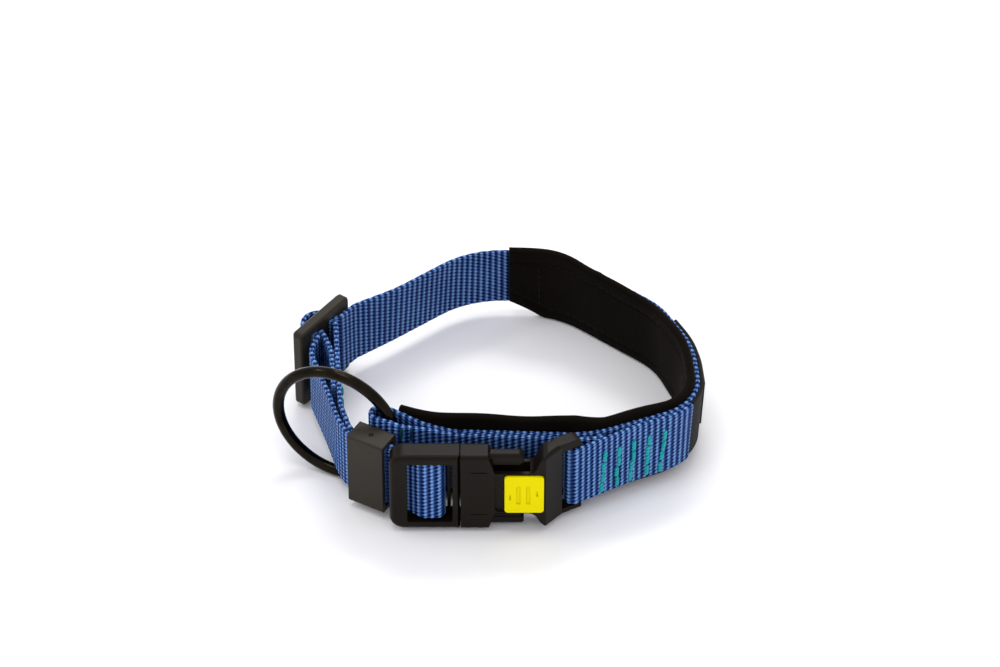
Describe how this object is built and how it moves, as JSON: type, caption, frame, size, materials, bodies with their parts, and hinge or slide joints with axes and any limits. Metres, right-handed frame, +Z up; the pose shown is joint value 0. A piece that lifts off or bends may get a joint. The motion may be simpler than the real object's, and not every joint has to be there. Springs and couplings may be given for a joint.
{
  "type": "adjustable webbing pet collar",
  "caption": "Closed adjustable webbing collar with a neoprene lining, a side-release buckle with a sliding lock, a strap slider, a keeper loop, a leash ring and a blank label.",
  "frame": {"origin": "on the floor, under the middle of the closed collar's overall box", "axes": "+Z up along the collar's own axis, the buckle faces -Y, the leash ring is at -X"},
  "size_m": [0.1483, 0.1167, 0.048],
  "materials": {
    "webbing": "woven nylon webbing, blue, ribbed",
    "neoprene": "closed-cell neoprene, matt, near black",
    "buckle_plastic": "moulded acetal, matt, black-olive",
    "button_plastic": "moulded, yellow, satin",
    "ring_metal": "welded steel ring, black nickel, glossy",
    "thread": "thick nylon thread, teal",
    "label_base": "woven backing patch, black",
    "label_badge": "soft moulded badge, blank, satin"
  },
  "bodies": {
    "collar": {"neoprene_lining": "neoprene", "strap_lined_run": "webbing", "strap_ring_loop": "webbing", "strap_rear_run": "webbing", "strap_outer_run": "webbing", "strap_inner_run": "webbing", "strap_plug_loop": "webbing", "plug_base": "buckle_plastic", "buckle_socket": "buckle_plastic", "buckle_strap": "webbing", "label_patch": "label_base", "label_badge": "label_badge", "bar_tacks": "thread", "ring_loop_stitches": "thread", "sewn_end_stitches": "thread"},
    "adjuster": {"slider": "buckle_plastic", "strap_slider_wrap": "webbing", "strap_sewn_end": "webbing"},
    "keeper_body": {"keeper": "buckle_plastic"},
    "ring": {"o_ring": "ring_metal"},
    "lock": {"lock_button": "button_plastic"},
    "arm_upper": {"plug_arm_upper": "buckle_plastic"},
    "arm_lower": {"plug_arm_lower": "buckle_plastic"}
  },
  "joints": [
    {"name": "lock_slide", "type": "slide", "parent": "collar", "child": "lock", "axis": [-1, 0, 0], "range_m": [0, 0.003]},
    {"name": "arm_upper_press", "type": "hinge", "parent": "collar", "child": "arm_upper", "pos_m": [-0.0096, -0.054, 0.03], "axis": [0, 1, 0], "range_deg": [0, 6], "stiffness_Nm_per_rad": 0.4},
    {"name": "arm_lower_press", "type": "hinge", "parent": "collar", "child": "arm_lower", "pos_m": [-0.0096, -0.054, 0.005], "axis": [0, -1, 0], "range_deg": [0, 6], "stiffness_Nm_per_rad": 0.4},
    {"name": "ring_swing", "type": "hinge", "parent": "collar", "child": "ring", "pos_m": [-0.0338, -0.0374, 0.024], "axis": [0, 0, 1], "range_deg": [-8, 6], "deforming": ["strap_ring_loop"]},
    {"name": "keeper_slide", "type": "slide", "parent": "collar", "child": "keeper_body", "axis": [0.8686, -0.4955, 0], "range_m": [-0.0015, 0.0012]},
    {"name": "slider_adjust", "type": "slide", "parent": "collar", "child": "adjuster", "axis": [0.5878, 0.809, 0], "range_m": [-0.008, 0.008], "deforming": ["strap_rear_run", "strap_outer_run", "strap_inner_run", "strap_sewn_end"]}
  ]
}
